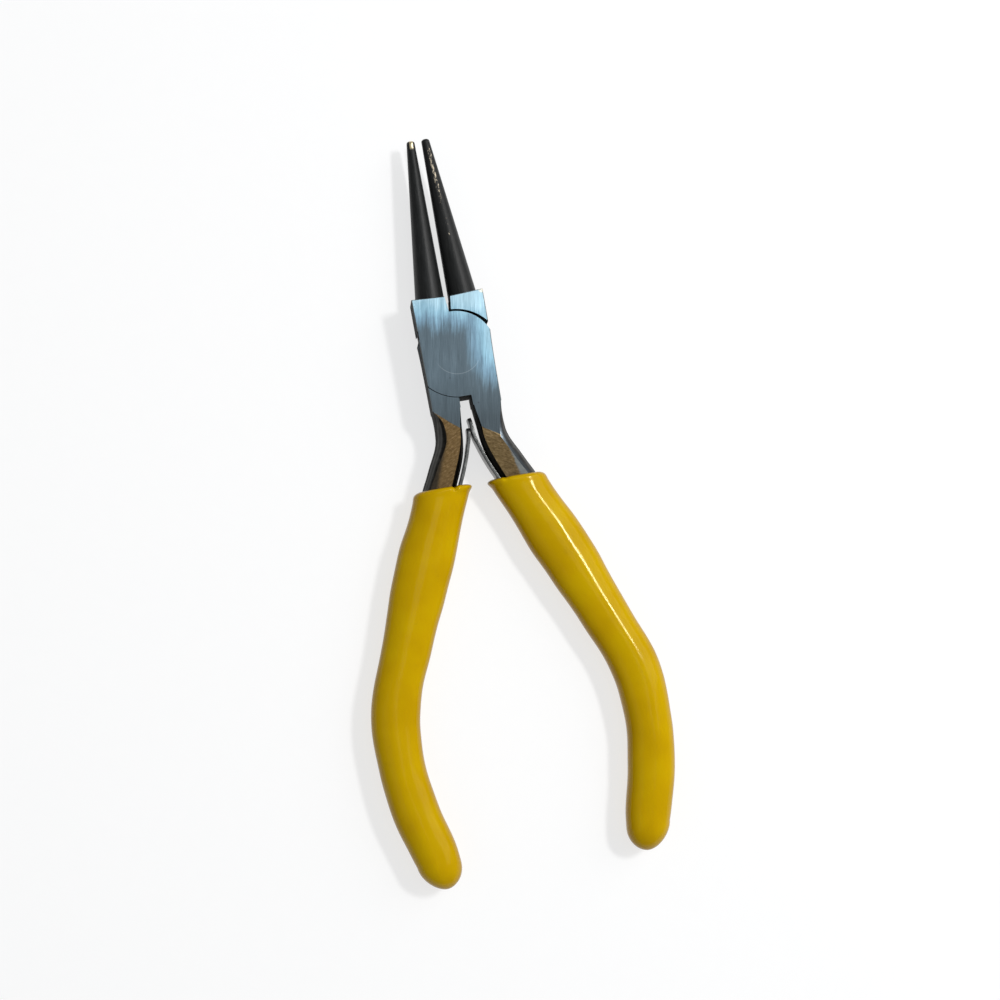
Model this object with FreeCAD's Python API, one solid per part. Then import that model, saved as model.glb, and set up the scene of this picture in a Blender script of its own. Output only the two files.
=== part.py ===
import FreeCAD, Part
import math
import os

# Round nose pliers, 125 mm long, lying flat.
# Frame: +Y runs from the pivot to the jaw tips, +Z is the pivot axis, +X is to the right seen from above.
# The origin is on the pivot axis, at the head's underside, which is z = 0. The pose is the one with the jaws
# almost closed. Both halves are the same forging: the rear half is the front half turned over about the Y axis.
os.makedirs("parts", exist_ok=True)

# ---- driving dimensions, millimetres ----
T = 7.5                    # head thickness
ZM = T / 2.0               # middle plane, on which the jaws and handles are centred
PLATE_GAP = 0.04           # running gap between the two lapped plates
R_PLATE_TOP = 6.60         # lapped plate's arc towards the jaws
R_BLOCK_TOP = 6.95         # the other half's jaw block clears it by 0.35
R_PLATE_BOT = 7.86         # lapped plate's arc towards the handles
R_BLOCK_BOT = 7.98         # the other half's shank clears it by 0.12
HEAD_HALF = 5.95           # half width of the head at the pivot
SHOULDER_Y = 9.40          # where the jaw cones leave the head
JAW_ROOT_R = 2.49          # cone radius at the shoulder
JAW_TIP_R = 0.70           # cone radius at the tip
JAW_TIP_Y = 37.0           # tip of both jaws
JAW_ROOT_X = 2.80          # cone axis distance from the centre line at the shoulder
JAW_TILT = 3.21            # degrees that each cone leans in towards the centre line
RIVET_R = 2.50             # pivot rivet shank
RIVET_HEAD_R = 3.95        # countersunk heads, flush with the head's faces
RUN_CLEAR = 0.04           # radial running clearance of the rear half on the rivet
LEAF_T = 0.50              # leaf spring thickness
LEAF_W = 4.50              # leaf spring width
LEAF_SHORTER = 1.60        # the left leaf's free end stops this much earlier
EDGE = 0.12                # edge break on the head's outline
SR_R = 0.80                # spring rivet shank
SR_HEAD_R = 1.60
SR_HEAD_H = 0.60
GRIP_HZ = 3.75             # half thickness of the sleeves
MOUTH_Y = -22.3            # mouth of the sleeves
TANG_HZ = 2.60             # half thickness of the tang inside its sleeve
FIT = 0.02                 # sleeve's cavity beyond the tang

V = FreeCAD.Vector


def v(x, y, z=0.0):
    return V(x, y, z)


def lin(a, b):
    return Part.LineSegment(a, b).toShape()


def arc3(a, m, b):
    return Part.Arc(a, m, b).toShape()


def spl(points):
    s = Part.BSplineCurve()
    s.interpolate(points)
    return s.toShape()


def prism(edges, z0, z1):
    w = Part.Wire(Part.__sortEdges__(edges))
    f = Part.Face(w)
    f.translate(v(0, 0, z0))
    return f.extrude(v(0, 0, z1 - z0))


def edge_break(solid, z, test):
    # A small chamfer on the flat outline edges at height z whose middle passes the test.
    edges = []
    for e in solid.Edges:
        if all(abs(p.Z - z) < 1e-6 for p in e.Vertexes) and test(e.CenterOfMass):
            edges.append(e)
    return solid.makeChamfer(EDGE, edges)


def circ_y(r, x, sign):
    return sign * math.sqrt(r * r - x * x)


def arc_mid(r, a, b):
    m = v((a.x + b.x) / 2, (a.y + b.y) / 2)
    return m * (r / m.Length)


def turn_over(shape):
    s = shape.copy()
    s.rotate(v(0, 0, ZM), v(0, 1, 0), 180)
    return s


def table(rows, y):
    rows = sorted(rows)
    ys = [r[0] for r in rows]
    if y <= ys[0]:
        return rows[0][1]
    for (y0, a), (y1, b) in zip(rows, rows[1:]):
        if y <= y1:
            return a + (b - a) * (y - y0) / (y1 - y0)
    return rows[-1][1]


def section(y, xi, xo, wi, wo, hz, wr=None, power=2.0):
    # A closed section across Y: two flats joined by rounded ends of depth wi (inner side) and wo (outer side).
    # wr, where given, is the outer side's depth below the middle plane.
    # The rounded ends never take more than nine tenths of the width.
    f = min(1.0, 0.9 * (xo - xi) / (wi + max(wo, wr or 0.0)))
    wi, wo, wr = wi * f, wo * f, (wo if wr is None else wr) * f

    def side(x0, w, w_low, sgn):
        pts = []
        n = 8
        for i in range(n + 1):
            t = math.pi / 2 * (1 - 2.0 * i / n)
            c, s = max(0.0, math.cos(t)), math.sin(t)
            px = x0 + sgn * (w if s >= 0 else w_low) * (c ** (2 / power) - 1)
            pz = ZM + hz * math.copysign(abs(s) ** (2 / power), s)
            pts.append(v(px, y, pz))
        return pts
    o = side(xo, wo, wr, 1)
    i_ = side(xi, wi, wi, -1)
    e = [spl(o), lin(o[-1], i_[-1]), spl(list(reversed(i_))), lin(i_[0], o[0])]
    return Part.Wire(e)


def loft(rows, power=2.0):
    return Part.makeLoft([section(*r, power=power) for r in rows], True, False)


# ---- handle lines, right-hand side; the left-hand side is the mirror of it ----
SHANK_OUT = [(-9.5, 5.86), (-11, 5.82), (-12.8, 5.85), (-13.9, 5.95), (-14.8, 6.15), (-15.9, 6.55), (-17.0, 7.12),
             (-18.1, 7.70), (-19.3, 8.28), (-20.4, 8.82), (-21.3, 9.29), (-22.3, 9.80), (-24, 10.40), (-26, 11.20),
             (-28, 12.15), (-30, 13.15), (-32, 14.10), (-34, 15.00), (-36, 15.82), (-38, 16.55), (-40, 17.20),
             (-44, 18.50), (-48, 19.90), (-52, 21.30), (-56, 22.60), (-60, 23.15), (-64, 23.15), (-68, 22.95),
             (-72, 22.55), (-76, 21.75), (-80, 20.65), (-83, 19.70), (-84.6, 18.9)]
SHANK_IN = [(-9.5, 1.08), (-11, 1.16), (-12.8, 1.28), (-13.9, 1.36), (-14.8, 1.44), (-15.9, 1.60), (-17.0, 1.74),
            (-18.1, 2.12), (-19.3, 2.58), (-20.4, 3.02), (-21.3, 3.42), (-22.3, 3.88), (-24, 4.64), (-26, 5.60),
            (-28, 6.45), (-30, 7.22), (-32, 7.90), (-34, 8.58), (-36, 9.28), (-38, 10.0), (-40, 10.85),
            (-44, 12.70), (-48, 14.55), (-52, 16.10), (-56, 17.60), (-60, 18.45), (-64, 18.80), (-68, 18.75),
            (-72, 18.30), (-76, 17.60), (-80, 16.60), (-83, 16.45), (-84.6, 17.0)]
GRIP_OUT = [(-22.3, 10.95), (-23.0, 11.25), (-24, 11.65), (-26, 12.55), (-28, 13.55), (-30, 14.62), (-32, 15.58),
            (-34, 16.45), (-36, 17.25), (-38, 17.97), (-40, 18.62), (-42, 19.30), (-44, 19.95), (-46, 20.62),
            (-48, 21.35), (-50, 22.10), (-52, 22.85), (-54, 23.52), (-56, 24.08), (-58, 24.42), (-60, 24.58),
            (-62, 24.62), (-64, 24.60), (-66, 24.50), (-68, 24.38), (-70, 24.20), (-72, 23.98), (-74, 23.66),
            (-76, 23.24), (-78, 22.74), (-80, 22.14), (-82, 21.50), (-84, 20.90), (-85.5, 20.40), (-86.7, 19.75),
            (-87.5, 19.05), (-87.9, 18.40), (-88.0, 17.95)]
GRIP_IN = [(-22.3, 1.80), (-23.0, 2.05), (-24, 2.50), (-26, 3.52), (-28, 4.38), (-30, 5.07), (-32, 5.75),
           (-34, 6.48), (-36, 7.28), (-38, 8.22), (-40, 9.16), (-42, 10.10), (-44, 11.10), (-46, 12.05),
           (-48, 12.95), (-50, 13.80), (-52, 14.68), (-54, 15.52), (-56, 16.20), (-58, 16.70), (-60, 17.07),
           (-62, 17.28), (-64, 17.45), (-66, 17.52), (-68, 17.42), (-70, 17.20), (-72, 16.90), (-74, 16.56),
           (-76, 16.12), (-78, 15.60), (-80, 15.10), (-82, 14.72), (-84, 14.62), (-85.5, 14.98), (-86.7, 15.65),
           (-87.5, 16.40), (-87.9, 17.05), (-88.0, 17.50)]
ROUND_OUT = [(-9.5, 0.12), (-10.5, 0.32), (-12, 0.62), (-14, 1.15), (-16, 2.00), (-19, 2.80), (-22.3, 2.95),
             (-26, 2.40), (-80, 2.20), (-84.6, 0.9)]
ROUND_REAR = [(-9.5, 0.12), (-10.5, 0.80), (-12, 1.80), (-14, 2.60), (-16, 2.90), (-19, 3.00), (-22.3, 2.95),
              (-26, 2.40), (-80, 2.20), (-84.6, 0.9)]
ROUND_IN = [(-9.5, 0.12), (-10.5, 0.22), (-12, 0.40), (-14, 0.60), (-15, 0.72), (-16, 0.95), (-17, 1.30), (-19, 1.62),
            (-22.3, 1.80), (-24, 1.72), (-26, 1.45), (-28, 1.25), (-31, 1.15), (-80, 2.0), (-84.6, 0.8)]
SHANK_HZ = [(-9.5, ZM), (-14, ZM), (-18, 3.60), (-22.3, 3.30), (-25, TANG_HZ), (-80, TANG_HZ), (-83, 2.2), (-84.6, 1.2)]


def shank_rows(extra=0.0, y_from=-9.5):
    ys = [-9.5, -10.5, -12, -13.4, -14.8, -16.4, -18.1, -19.8, -21.3, -22.6, -24.3, -27, -30, -34, -38, -44, -50,
          -56, -60, -64, -68, -72, -76, -80, -83, -84.6]
    rows = []
    for y in ys:
        if y > y_from + 1e-9:
            continue
        rows.append((y, table(SHANK_IN, y) - extra, table(SHANK_OUT, y) + extra, table(ROUND_IN, y) + extra,
                     table(ROUND_OUT, y) + extra, table(SHANK_HZ, y) + extra,
                     table(ROUND_REAR, y) + extra))
    return rows


# ---- one half of the pliers, with the left jaw and the right handle ----
def make_half():
    zf = ZM + PLATE_GAP / 2
    slot_top = (-0.50, SHOULDER_Y - 0.14)
    slot_x = -0.20
    left_top = (-6.06, SHOULDER_Y + 0.16)
    # Outline points on the two long sides.
    yl = circ_y(R_PLATE_BOT, -5.88, -1)
    p_left_bot = v(-5.88, yl)
    p_throat_l = v(-1.05, circ_y(R_PLATE_BOT, -1.05, -1))
    p_throat_r = v(1.05, circ_y(R_PLATE_BOT, 1.05, -1))
    xr = 6.12
    p_right_top = v(xr, circ_y(R_PLATE_TOP, xr, 1))
    p_arc_in = v(slot_x, circ_y(R_PLATE_TOP, slot_x, 1))
    front = [
        lin(p_arc_in, v(slot_top[0], slot_top[1])),
        lin(v(slot_top[0], slot_top[1]), v(*left_top)),
        spl([v(*left_top), v(-6.0, 5.0), v(-HEAD_HALF, 0.0), p_left_bot]),
        arc3(p_left_bot, arc_mid(R_PLATE_BOT, p_left_bot, p_throat_l), p_throat_l),
        lin(p_throat_l, p_throat_r),
        lin(p_throat_r, v(1.08, -9.5)),
        lin(v(1.08, -9.5), v(5.86, -9.5)),
        spl([v(5.86, -9.5), v(5.92, -4.0), v(6.02, 0.4), p_right_top]),
        arc3(p_right_top, arc_mid(R_PLATE_TOP, p_right_top, p_arc_in), p_arc_in),
    ]
    plate = prism(front, zf, T)
    plate = edge_break(plate, T, lambda c: abs(c.x) > 5.3 or c.y > 9.2)
    # Jaw block, full thickness, outside the arc.
    a0 = v(slot_x - 0.02, circ_y(R_BLOCK_TOP, slot_x - 0.02, 1))
    xl = -6.03
    a1 = v(xl, circ_y(R_BLOCK_TOP + 0.27, xl, 1))
    block = [
        lin(a0, v(slot_top[0], slot_top[1])),
        lin(v(slot_top[0], slot_top[1]), v(*left_top)),
        spl([v(*left_top), v(-6.045, 7.0), a1]),
        arc3(a1, arc_mid(R_BLOCK_TOP + 0.05, a1, a0), a0),
    ]
    jaw_block = prism(block, 0, zf + 0.5)
    jaw_block = edge_break(jaw_block, 0, lambda c: c.x < -5.3 or c.y > 9.2)
    # Shank block, full thickness, outside the lower arc.
    b0 = v(5.90, circ_y(R_BLOCK_BOT, 5.90, -1))
    b1 = v(1.055, circ_y(R_BLOCK_BOT, 1.055, -1))
    low = [
        arc3(b0, arc_mid(R_BLOCK_BOT, b0, b1), b1),
        lin(b1, v(1.08, -9.5)),
        lin(v(1.08, -9.5), v(5.86, -9.5)),
        lin(v(5.86, -9.5), b0),
    ]
    shank_block = prism(low, 0, zf + 0.5)
    shank_block = edge_break(shank_block, 0, lambda c: c.x > 5.3)
    # Shank and tang: rounded sides, tapering into the sleeve.
    shank = loft(shank_rows())
    # The ground flats slope down towards the sleeve, front and back, from a slanting line across the shank.
    for p0, p1, drop, front_side in (((1.45, -13.1), (5.2, -15.5), 0.20, True), ((1.9, -12.9), (5.8, -9.6), 0.09, False)):
        a, b = v(*p0), v(*p1)
        d = (b - a)
        d.normalize()
        nrm = v(d.y, -d.x)
        if nrm.y > 0:
            nrm = nrm * -1
        mid = (a + b) * 0.5
        reach, wide, up = 30.0, 30.0, 5.0
        zt = T if front_side else 0.0
        s = 1 if front_side else -1

        def q(dist, dz):
            return mid - d * wide + nrm * dist + v(0, 0, zt + s * dz)
        wedge = Part.Face(Part.makePolygon([q(0, 0), q(0, up), q(reach, up), q(reach, -reach * drop), q(0, 0)]))
        wedge = wedge.extrude(d * (2 * wide))
        keep = Part.makeBox(60, 24.5 - 9.5 + 6.0, 30, v(-10, -24.5, -10))
        shank = shank.cut(wedge.common(keep))
    # Jaw cone with a blunt rounded tip.
    ca, sa = math.cos(math.radians(JAW_TILT)), math.sin(math.radians(JAW_TILT))
    length = (JAW_TIP_Y - SHOULDER_Y) / ca
    root = 2.2
    slope = (JAW_ROOT_R - JAW_TIP_R) / (length - 0.5)
    rt = 0.42
    prof = [v(0, -root), v(JAW_ROOT_R + slope * root, -root), v(JAW_TIP_R + 0.004, length - rt)]
    e = [lin(prof[0], prof[1]), lin(prof[1], prof[2])]
    e.append(arc3(prof[2], v(JAW_TIP_R - 0.13, length - 0.12), v(JAW_TIP_R - 0.40, length)))
    e.append(lin(v(JAW_TIP_R - 0.40, length), v(0, length)))
    e.append(lin(v(0, length), prof[0]))
    cone = Part.Face(Part.Wire(e)).revolve(v(0, 0), v(0, 1, 0), 360)
    cone.rotate(v(0, 0), v(0, 0, 1), -JAW_TILT)
    cone.translate(v(-JAW_ROOT_X, SHOULDER_Y, ZM))
    keep = Part.makeBox(20, 60, 20, v(-15, SHOULDER_Y - 1.2, -5))
    cone = cone.common(keep)
    half = plate.fuse([jaw_block, shank_block, shank, cone])
    # Bore and countersink for the pivot rivet.
    half = half.cut(Part.makeCylinder(RIVET_R, T, v(0, 0, 0)))
    half = half.cut(Part.makeCone(RIVET_R, RIVET_HEAD_R, RIVET_HEAD_R - RIVET_R, v(0, 0, T - (RIVET_HEAD_R - RIVET_R))))
    return half.removeSplitter()


# ---- leaf spring: flat strip, bent in the plane of the head ----
LEAF = [(-11.45, -0.16), (-12.3, -0.02), (-13.2, 0.05), (-14.2, 0.13), (-15.0, 0.28), (-15.9, 0.55), (-16.9, 0.86),
        (-18.0, 1.22), (-19.1, 1.63), (-20.2, 2.08), (-21.3, 2.56), (-22.3, 3.02), (-23.6, 3.62), (-25.0, 4.32),
        (-26.4, 5.03), (-27.6, 5.60), (-28.8, 6.10), (-30.0, 6.52), (-31.5, 7.03), (-33.0, 7.54)]


def leaf_curve(shorter):
    pts = [v(x, y) for y, x in LEAF]
    if shorter:
        # The shorter leaf starts further down and doesn't cross the centre line.
        pts = [p for p in pts if p.y < -11.45 - shorter - 0.05]
        pts.insert(0, v(0.06, -11.45 - shorter))
    return pts


def make_leaf(shorter=0.0):
    pts = leaf_curve(shorter)
    c = Part.BSplineCurve()
    c.interpolate(pts)
    n = 40
    a, b = [], []
    for i in range(n + 1):
        t = c.FirstParameter + (c.LastParameter - c.FirstParameter) * i / n
        p = c.value(t)
        d = c.tangent(t)[0]
        nrm = v(-d.y, d.x)
        if nrm.x < 0:
            nrm = nrm * -1
        a.append(p)
        b.append(p + nrm * LEAF_T)
    edges = [spl(a), lin(a[-1], b[-1]), spl(list(reversed(b))), lin(b[0], a[0])]
    leaf = prism(edges, ZM - LEAF_W / 2, ZM + LEAF_W / 2)
    # Rounded corners at the free end and the foot.
    try:
        ends = [e for e in leaf.Edges if abs(e.Length - LEAF_T) < 0.02 and abs(e.Vertexes[0].Z - e.Vertexes[1].Z) < 1e-6]
        leaf = leaf.makeFillet(0.8, ends)
    except Exception as err:
        print("leaf corners left square:", err)
    hole = Part.makeCylinder(SR_R + 0.03, 4, SR_POS - SR_DIR * 2, SR_DIR)
    return leaf.cut(hole)


# Spring rivet: axis square to the tang's inner side, pointing out of the tang.
_d = v(7.90 - 7.24, -32 + 30)
_d.normalize()
SR_DIR = v(_d.y, -_d.x)
if SR_DIR.x > 0:
    SR_DIR = SR_DIR * -1
SR_Y = -30.9
SR_POS = v(table([(y, x) for y, x in LEAF], SR_Y), SR_Y, ZM)


def make_spring_rivet():
    shank = Part.makeCylinder(SR_R, LEAF_T + 2.6, SR_POS - SR_DIR * (LEAF_T + 2.55), SR_DIR)
    r = (SR_HEAD_R ** 2 + SR_HEAD_H ** 2) / (2 * SR_HEAD_H)
    ball = Part.makeSphere(r, SR_POS - SR_DIR * (r - SR_HEAD_H))
    cap = Part.makeCylinder(SR_HEAD_R + 1, 3, SR_POS + SR_DIR * 0.03, SR_DIR)
    return shank.fuse(ball.common(cap)).removeSplitter()


def make_grip(shorter=0.0):
    ys = [-22.3, -23.0, -24, -26, -28, -31, -34, -38, -42, -46, -50, -54, -58, -62, -66, -70, -74, -78, -81, -84,
          -85.5, -86.7, -87.5, -87.9, -88.0]
    hz = [(-22.3, GRIP_HZ), (-84, GRIP_HZ), (-85.5, 3.5), (-86.7, 2.9), (-87.5, 2.0), (-87.9, 1.2), (-88.0, 0.7)]
    rows = []
    for y in ys:
        xi, xo = table(GRIP_IN, y), table(GRIP_OUT, y)
        w = min(3.3, (xo - xi) * 0.46)
        rows.append((y, xi, xo, w, w, table(hz, y)))
    body = loft(rows, power=2.25)
    cavity = loft(shank_rows(FIT))
    body = body.cut(cavity)
    # Room for the leaf and for its rivet's head, on the tang's inner side.
    pts = [p for p in leaf_curve(0.0) if p.y <= -19.0]
    side = [v(p.x - 0.14, p.y) for p in pts]
    back = [v(table(SHANK_IN, p.y) + 0.6, p.y) for p in pts]
    foot = side[-1] + (side[-1] - side[-2]) * 0.15
    foot_b = back[-1] + (back[-1] - back[-2]) * 0.15
    edges = [spl(side + [foot]), lin(foot, foot_b), spl([foot_b] + list(reversed(back))), lin(back[0], side[0])]
    body = body.cut(prism(edges, ZM - LEAF_W / 2 - 0.12, ZM + LEAF_W / 2 + 0.12))
    body = body.cut(Part.makeCylinder(SR_HEAD_R + 0.15, SR_HEAD_H + 0.6, SR_POS - SR_DIR * 0.45, SR_DIR))
    return body


def save(shape, name):
    solids = shape.Solids
    s = solids[0] if len(solids) == 1 else Part.makeCompound(solids)
    bb = s.BoundBox
    print("%-20s solids %d valid %s volume %.1f  x %.2f..%.2f  y %.2f..%.2f  z %.2f..%.2f" % (
        name, len(solids), s.isValid(), s.Volume, bb.XMin, bb.XMax, bb.YMin, bb.YMax, bb.ZMin, bb.ZMax))
    s.exportStep("parts/%s.step" % name)
    return s


half = make_half()
blind = Part.makeCylinder(SR_R, 2.6, SR_POS - SR_DIR * (LEAF_T + 2.6), SR_DIR)
half = half.cut(blind)
# The rear half turns on the rivet, so its bore and countersink have running clearance.
rear = half.cut(Part.makeCylinder(RIVET_R + RUN_CLEAR, T, v(0, 0, 0)))
hc = RIVET_HEAD_R - RIVET_R
rear = rear.cut(Part.makeCone(RIVET_R + RUN_CLEAR - 0.02, RIVET_HEAD_R + RUN_CLEAR + 0.03, hc + 0.05, v(0, 0, T - hc - 0.05)))
rear = turn_over(rear)
save(half, "front_half")
save(rear, "rear_half")

rivet = Part.makeCylinder(RIVET_R, T, v(0, 0, 0))
rivet = rivet.fuse(Part.makeCone(RIVET_HEAD_R, RIVET_R, hc, v(0, 0, 0)))
rivet = rivet.fuse(Part.makeCone(RIVET_R, RIVET_HEAD_R, hc, v(0, 0, T - hc)))
save(rivet.removeSplitter(), "pivot_rivet")

save(make_leaf(0.0), "right_leaf_spring")
save(turn_over(make_leaf(LEAF_SHORTER)), "left_leaf_spring")
sr = make_spring_rivet()
save(sr, "right_spring_rivet")
save(turn_over(sr), "left_spring_rivet")
grip = make_grip()
save(grip, "right_grip")
save(turn_over(grip), "left_grip")
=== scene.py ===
import bpy
import bmesh
import math
import numpy as np
from mathutils import Matrix, Vector


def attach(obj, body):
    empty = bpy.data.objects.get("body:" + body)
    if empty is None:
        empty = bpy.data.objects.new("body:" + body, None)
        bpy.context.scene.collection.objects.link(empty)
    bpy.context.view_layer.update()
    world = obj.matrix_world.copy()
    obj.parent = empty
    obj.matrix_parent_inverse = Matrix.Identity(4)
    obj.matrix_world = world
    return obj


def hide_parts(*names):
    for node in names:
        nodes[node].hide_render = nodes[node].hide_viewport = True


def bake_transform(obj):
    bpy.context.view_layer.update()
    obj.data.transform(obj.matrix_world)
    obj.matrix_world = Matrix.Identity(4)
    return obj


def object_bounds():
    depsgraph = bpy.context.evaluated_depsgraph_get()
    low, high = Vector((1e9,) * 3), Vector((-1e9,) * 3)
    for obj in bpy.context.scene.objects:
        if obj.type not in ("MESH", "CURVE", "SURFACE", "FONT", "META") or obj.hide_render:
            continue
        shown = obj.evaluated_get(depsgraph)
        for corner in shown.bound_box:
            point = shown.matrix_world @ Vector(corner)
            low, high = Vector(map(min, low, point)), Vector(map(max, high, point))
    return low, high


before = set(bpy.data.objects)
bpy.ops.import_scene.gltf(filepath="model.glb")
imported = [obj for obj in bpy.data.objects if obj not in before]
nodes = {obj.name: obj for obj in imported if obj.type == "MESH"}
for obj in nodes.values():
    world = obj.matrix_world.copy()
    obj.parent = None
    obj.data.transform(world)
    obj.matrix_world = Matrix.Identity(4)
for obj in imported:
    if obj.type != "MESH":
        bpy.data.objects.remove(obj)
cad_box = [[float(c) for c in corner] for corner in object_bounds()]
MM = 0.001
T = 7.5
ZM = T / 2

# ------------------------------------------------------------------ node helpers


class Mat:
    """A small builder for procedural materials."""

    def __init__(self, name):
        self.mat = bpy.data.materials.new(name)
        self.mat.use_nodes = True
        self.nt = self.mat.node_tree
        for n in list(self.nt.nodes):
            self.nt.nodes.remove(n)
        self.out = self.nt.nodes.new("ShaderNodeOutputMaterial")
        self.bsdf = self.nt.nodes.new("ShaderNodeBsdfPrincipled")
        self.nt.links.new(self.bsdf.outputs[0], self.out.inputs[0])
        self.tc = self.nt.nodes.new("ShaderNodeTexCoord")
        self.P = self.vmath("MULTIPLY", self.tc.outputs["Object"], (1000.0, 1000.0, 1000.0))
        sep = self.nt.nodes.new("ShaderNodeSeparateXYZ")
        self.link(self.P, sep.inputs[0])
        self.x, self.y, self.z = sep.outputs

    def link(self, a, b):
        self.nt.links.new(a, b)

    def _in(self, sock, val):
        if hasattr(val, "is_output") or isinstance(val, bpy.types.NodeSocket):
            self.link(val, sock)
        else:
            sock.default_value = val

    def math(self, op, a, b=None, c=None, clamp=False):
        n = self.nt.nodes.new("ShaderNodeMath")
        n.operation = op
        n.use_clamp = clamp
        self._in(n.inputs[0], a)
        if b is not None:
            self._in(n.inputs[1], b)
        if c is not None:
            self._in(n.inputs[2], c)
        return n.outputs[0]

    def vmath(self, op, a, b=None):
        n = self.nt.nodes.new("ShaderNodeVectorMath")
        n.operation = op
        self._in(n.inputs[0], a)
        if b is not None:
            self._in(n.inputs[1], b)
        return n.outputs["Value"] if op in ("LENGTH", "DOT_PRODUCT", "DISTANCE") else n.outputs[0]

    def combine(self, x, y, z):
        n = self.nt.nodes.new("ShaderNodeCombineXYZ")
        for s, val in zip(n.inputs, (x, y, z)):
            self._in(s, val)
        return n.outputs[0]

    def ramp(self, val, stops, interp="LINEAR"):
        n = self.nt.nodes.new("ShaderNodeValToRGB")
        n.color_ramp.interpolation = interp
        els = n.color_ramp.elements
        while len(els) > 1:
            els.remove(els[-1])
        els[0].position = stops[0][0]
        els[0].color = self._rgba(stops[0][1])
        for pos, col in stops[1:]:
            e = els.new(pos)
            e.color = self._rgba(col)
        self._in(n.inputs[0], val)
        return n.outputs[0]

    @staticmethod
    def _rgba(c):
        if isinstance(c, (int, float)):
            return (c, c, c, 1.0)
        return tuple(c) + (1.0,) if len(c) == 3 else tuple(c)

    def maprange(self, val, a, b, c=0.0, d=1.0, smooth=True):
        n = self.nt.nodes.new("ShaderNodeMapRange")
        n.interpolation_type = "SMOOTHSTEP" if smooth else "LINEAR"
        self._in(n.inputs["Value"], val)
        n.inputs["From Min"].default_value = a
        n.inputs["From Max"].default_value = b
        n.inputs["To Min"].default_value = c
        n.inputs["To Max"].default_value = d
        return n.outputs[0]

    def mix(self, fac, a, b, blend="MIX"):
        n = self.nt.nodes.new("ShaderNodeMix")
        n.data_type = "RGBA"
        n.blend_type = blend
        n.clamp_factor = True
        self._in(n.inputs[0], fac)
        self._in(n.inputs[6], self._rgba(a) if isinstance(a, (tuple, float, int)) else a)
        self._in(n.inputs[7], self._rgba(b) if isinstance(b, (tuple, float, int)) else b)
        return n.outputs[2]

    def mixf(self, fac, a, b):
        n = self.nt.nodes.new("ShaderNodeMix")
        n.data_type = "FLOAT"
        self._in(n.inputs[0], fac)
        self._in(n.inputs[2], a)
        self._in(n.inputs[3], b)
        return n.outputs[0]

    def noise(self, vec, scale=1.0, detail=2.0, rough=0.5, distort=0.0):
        n = self.nt.nodes.new("ShaderNodeTexNoise")
        self._in(n.inputs["Vector"], vec)
        n.inputs["Scale"].default_value = scale
        n.inputs["Detail"].default_value = detail
        n.inputs["Roughness"].default_value = rough
        n.inputs["Distortion"].default_value = distort
        return n.outputs[0]

    def voronoi(self, vec, scale=1.0, feature="F1"):
        n = self.nt.nodes.new("ShaderNodeTexVoronoi")
        n.feature = feature
        self._in(n.inputs["Vector"], vec)
        n.inputs["Scale"].default_value = scale
        return n.outputs["Distance"]

    def bump(self, height, strength=0.3, distance=0.0001, normal=None):
        n = self.nt.nodes.new("ShaderNodeBump")
        n.inputs["Strength"].default_value = strength
        n.inputs["Distance"].default_value = distance
        self._in(n.inputs["Height"], height)
        if normal is not None:
            self._in(n.inputs["Normal"], normal)
        return n.outputs[0]

    def set(self, **kw):
        for k, val in kw.items():
            self._in(self.bsdf.inputs[k.replace("_", " ")], val)


def linear(r, g, b):
    def f(c):
        c /= 255.0
        return c / 12.92 if c <= 0.04045 else ((c + 0.055) / 1.055) ** 2.4
    return (f(r), f(g), f(b))


# ------------------------------------------------------------------ materials

BRUSH_ANGLE = math.radians(10.2)      # the head was brushed along a line this far off its axis


PITS = [(1.3, 3.46, 0.22), (1.99, -9.3, 0.2), (-1.98, -4.44, 0.16)]


def rotated(m, angle):
    """Coordinates along and across a direction that leans by angle from +Y towards +X, in mm."""
    ca, sa = math.cos(angle), math.sin(angle)
    along = m.math("ADD", m.math("MULTIPLY", m.x, sa), m.math("MULTIPLY", m.y, ca))
    across = m.math("SUBTRACT", m.math("MULTIPLY", m.x, ca), m.math("MULTIPLY", m.y, sa))
    return along, across


DULL_LOW = (0.062, 0.078, 0.088)
DULL_MID = (0.092, 0.122, 0.142)
HEAD_0 = (0.092, 0.124, 0.145)
HEAD_1 = (0.165, 0.265, 0.340)
HEAD_2 = (0.240, 0.400, 0.490)
HEAD_3 = (0.345, 0.50, 0.575)


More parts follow.
